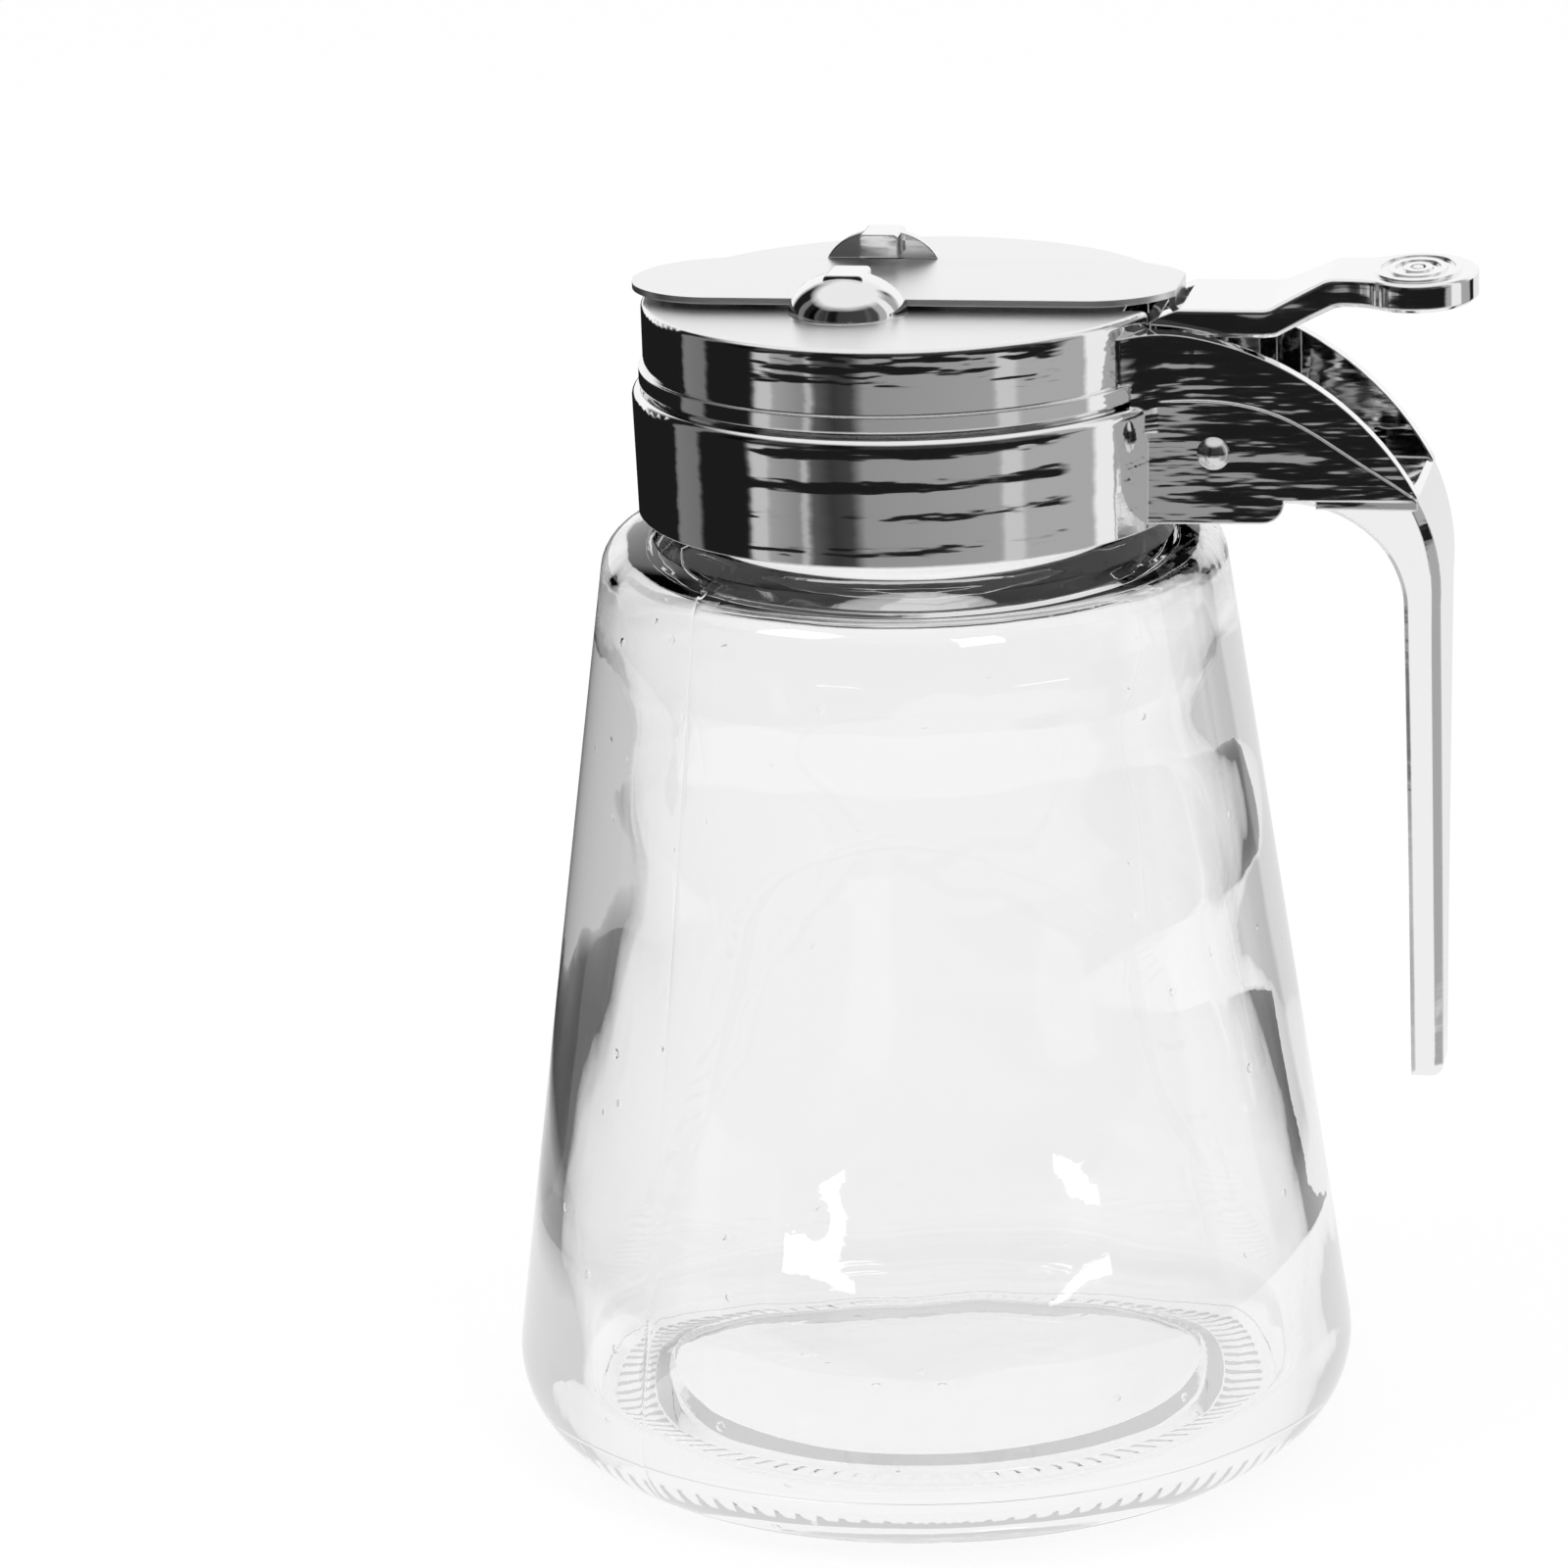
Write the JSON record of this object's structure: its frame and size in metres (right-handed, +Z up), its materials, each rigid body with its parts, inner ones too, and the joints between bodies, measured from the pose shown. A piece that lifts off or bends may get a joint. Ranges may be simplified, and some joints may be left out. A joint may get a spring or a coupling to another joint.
{
  "type": "syrup dispenser",
  "caption": "Clear flared glass syrup jug with a plated screw-on head, V handle and a thumb lever that draws a sliding steel shutter off the pour hole.",
  "frame": {"origin": "on the jug's axis at the table, the centre of its foot ring", "axes": "+Z up the jug's axis, +X towards the handle, Y across the handle"},
  "size_m": [0.1067, 0.0922, 0.1314],
  "materials": {
    "clear_glass": "clear pressed soda-lime glass",
    "seal_rubber": "matt food-grade rubber",
    "plated_plastic": "moulded plastic with bright chrome plating",
    "lever_plating": "moulded plastic with bright chrome plating",
    "shutter_steel": "stamped stainless strip, satin",
    "spring_wire": "drawn spring wire",
    "pin_steel": "bright turned steel"
  },
  "bodies": {
    "jug": {"glass_jug": "clear_glass"},
    "seal": {"neck_gasket": "seal_rubber"},
    "head": {"collar_handle": "plated_plastic", "top_cap": "plated_plastic", "pivot_pin": "pin_steel", "pin_cap": "pin_steel", "torsion_spring": "spring_wire"},
    "lever": {"thumb_lever": "lever_plating"},
    "slide": {"shutter": "shutter_steel"}
  },
  "joints": [
    {"name": "head_lift", "type": "slide", "parent": "jug", "child": "seal", "axis": [0, 0, 1], "range_m": [0, 0.00625]},
    {"name": "head_turn", "type": "hinge", "parent": "seal", "child": "head", "pos_m": [0, 0, 0.11], "axis": [0, 0, 1], "range_deg": [0, 450]},
    {"name": "lever_press", "type": "hinge", "parent": "head", "child": "lever", "pos_m": [0.034, 0, 0.1125], "axis": [0, 1, 0], "range_deg": [0, 53], "stiffness_Nm_per_rad": 0.08, "springref_deg": -28.65, "deforming": ["torsion_spring"]},
    {"name": "shutter_slide", "type": "slide", "parent": "head", "child": "slide", "axis": [1, 0, 0], "range_m": [0, 0.01332]}
  ],
  "couplings": [
    {"joint": "head_lift", "follows": "head_turn", "m_per_rad": 0.00079577},
    {"joint": "lever_press", "follows": "shutter_slide", "rad_per_m": 69.444}
  ]
}
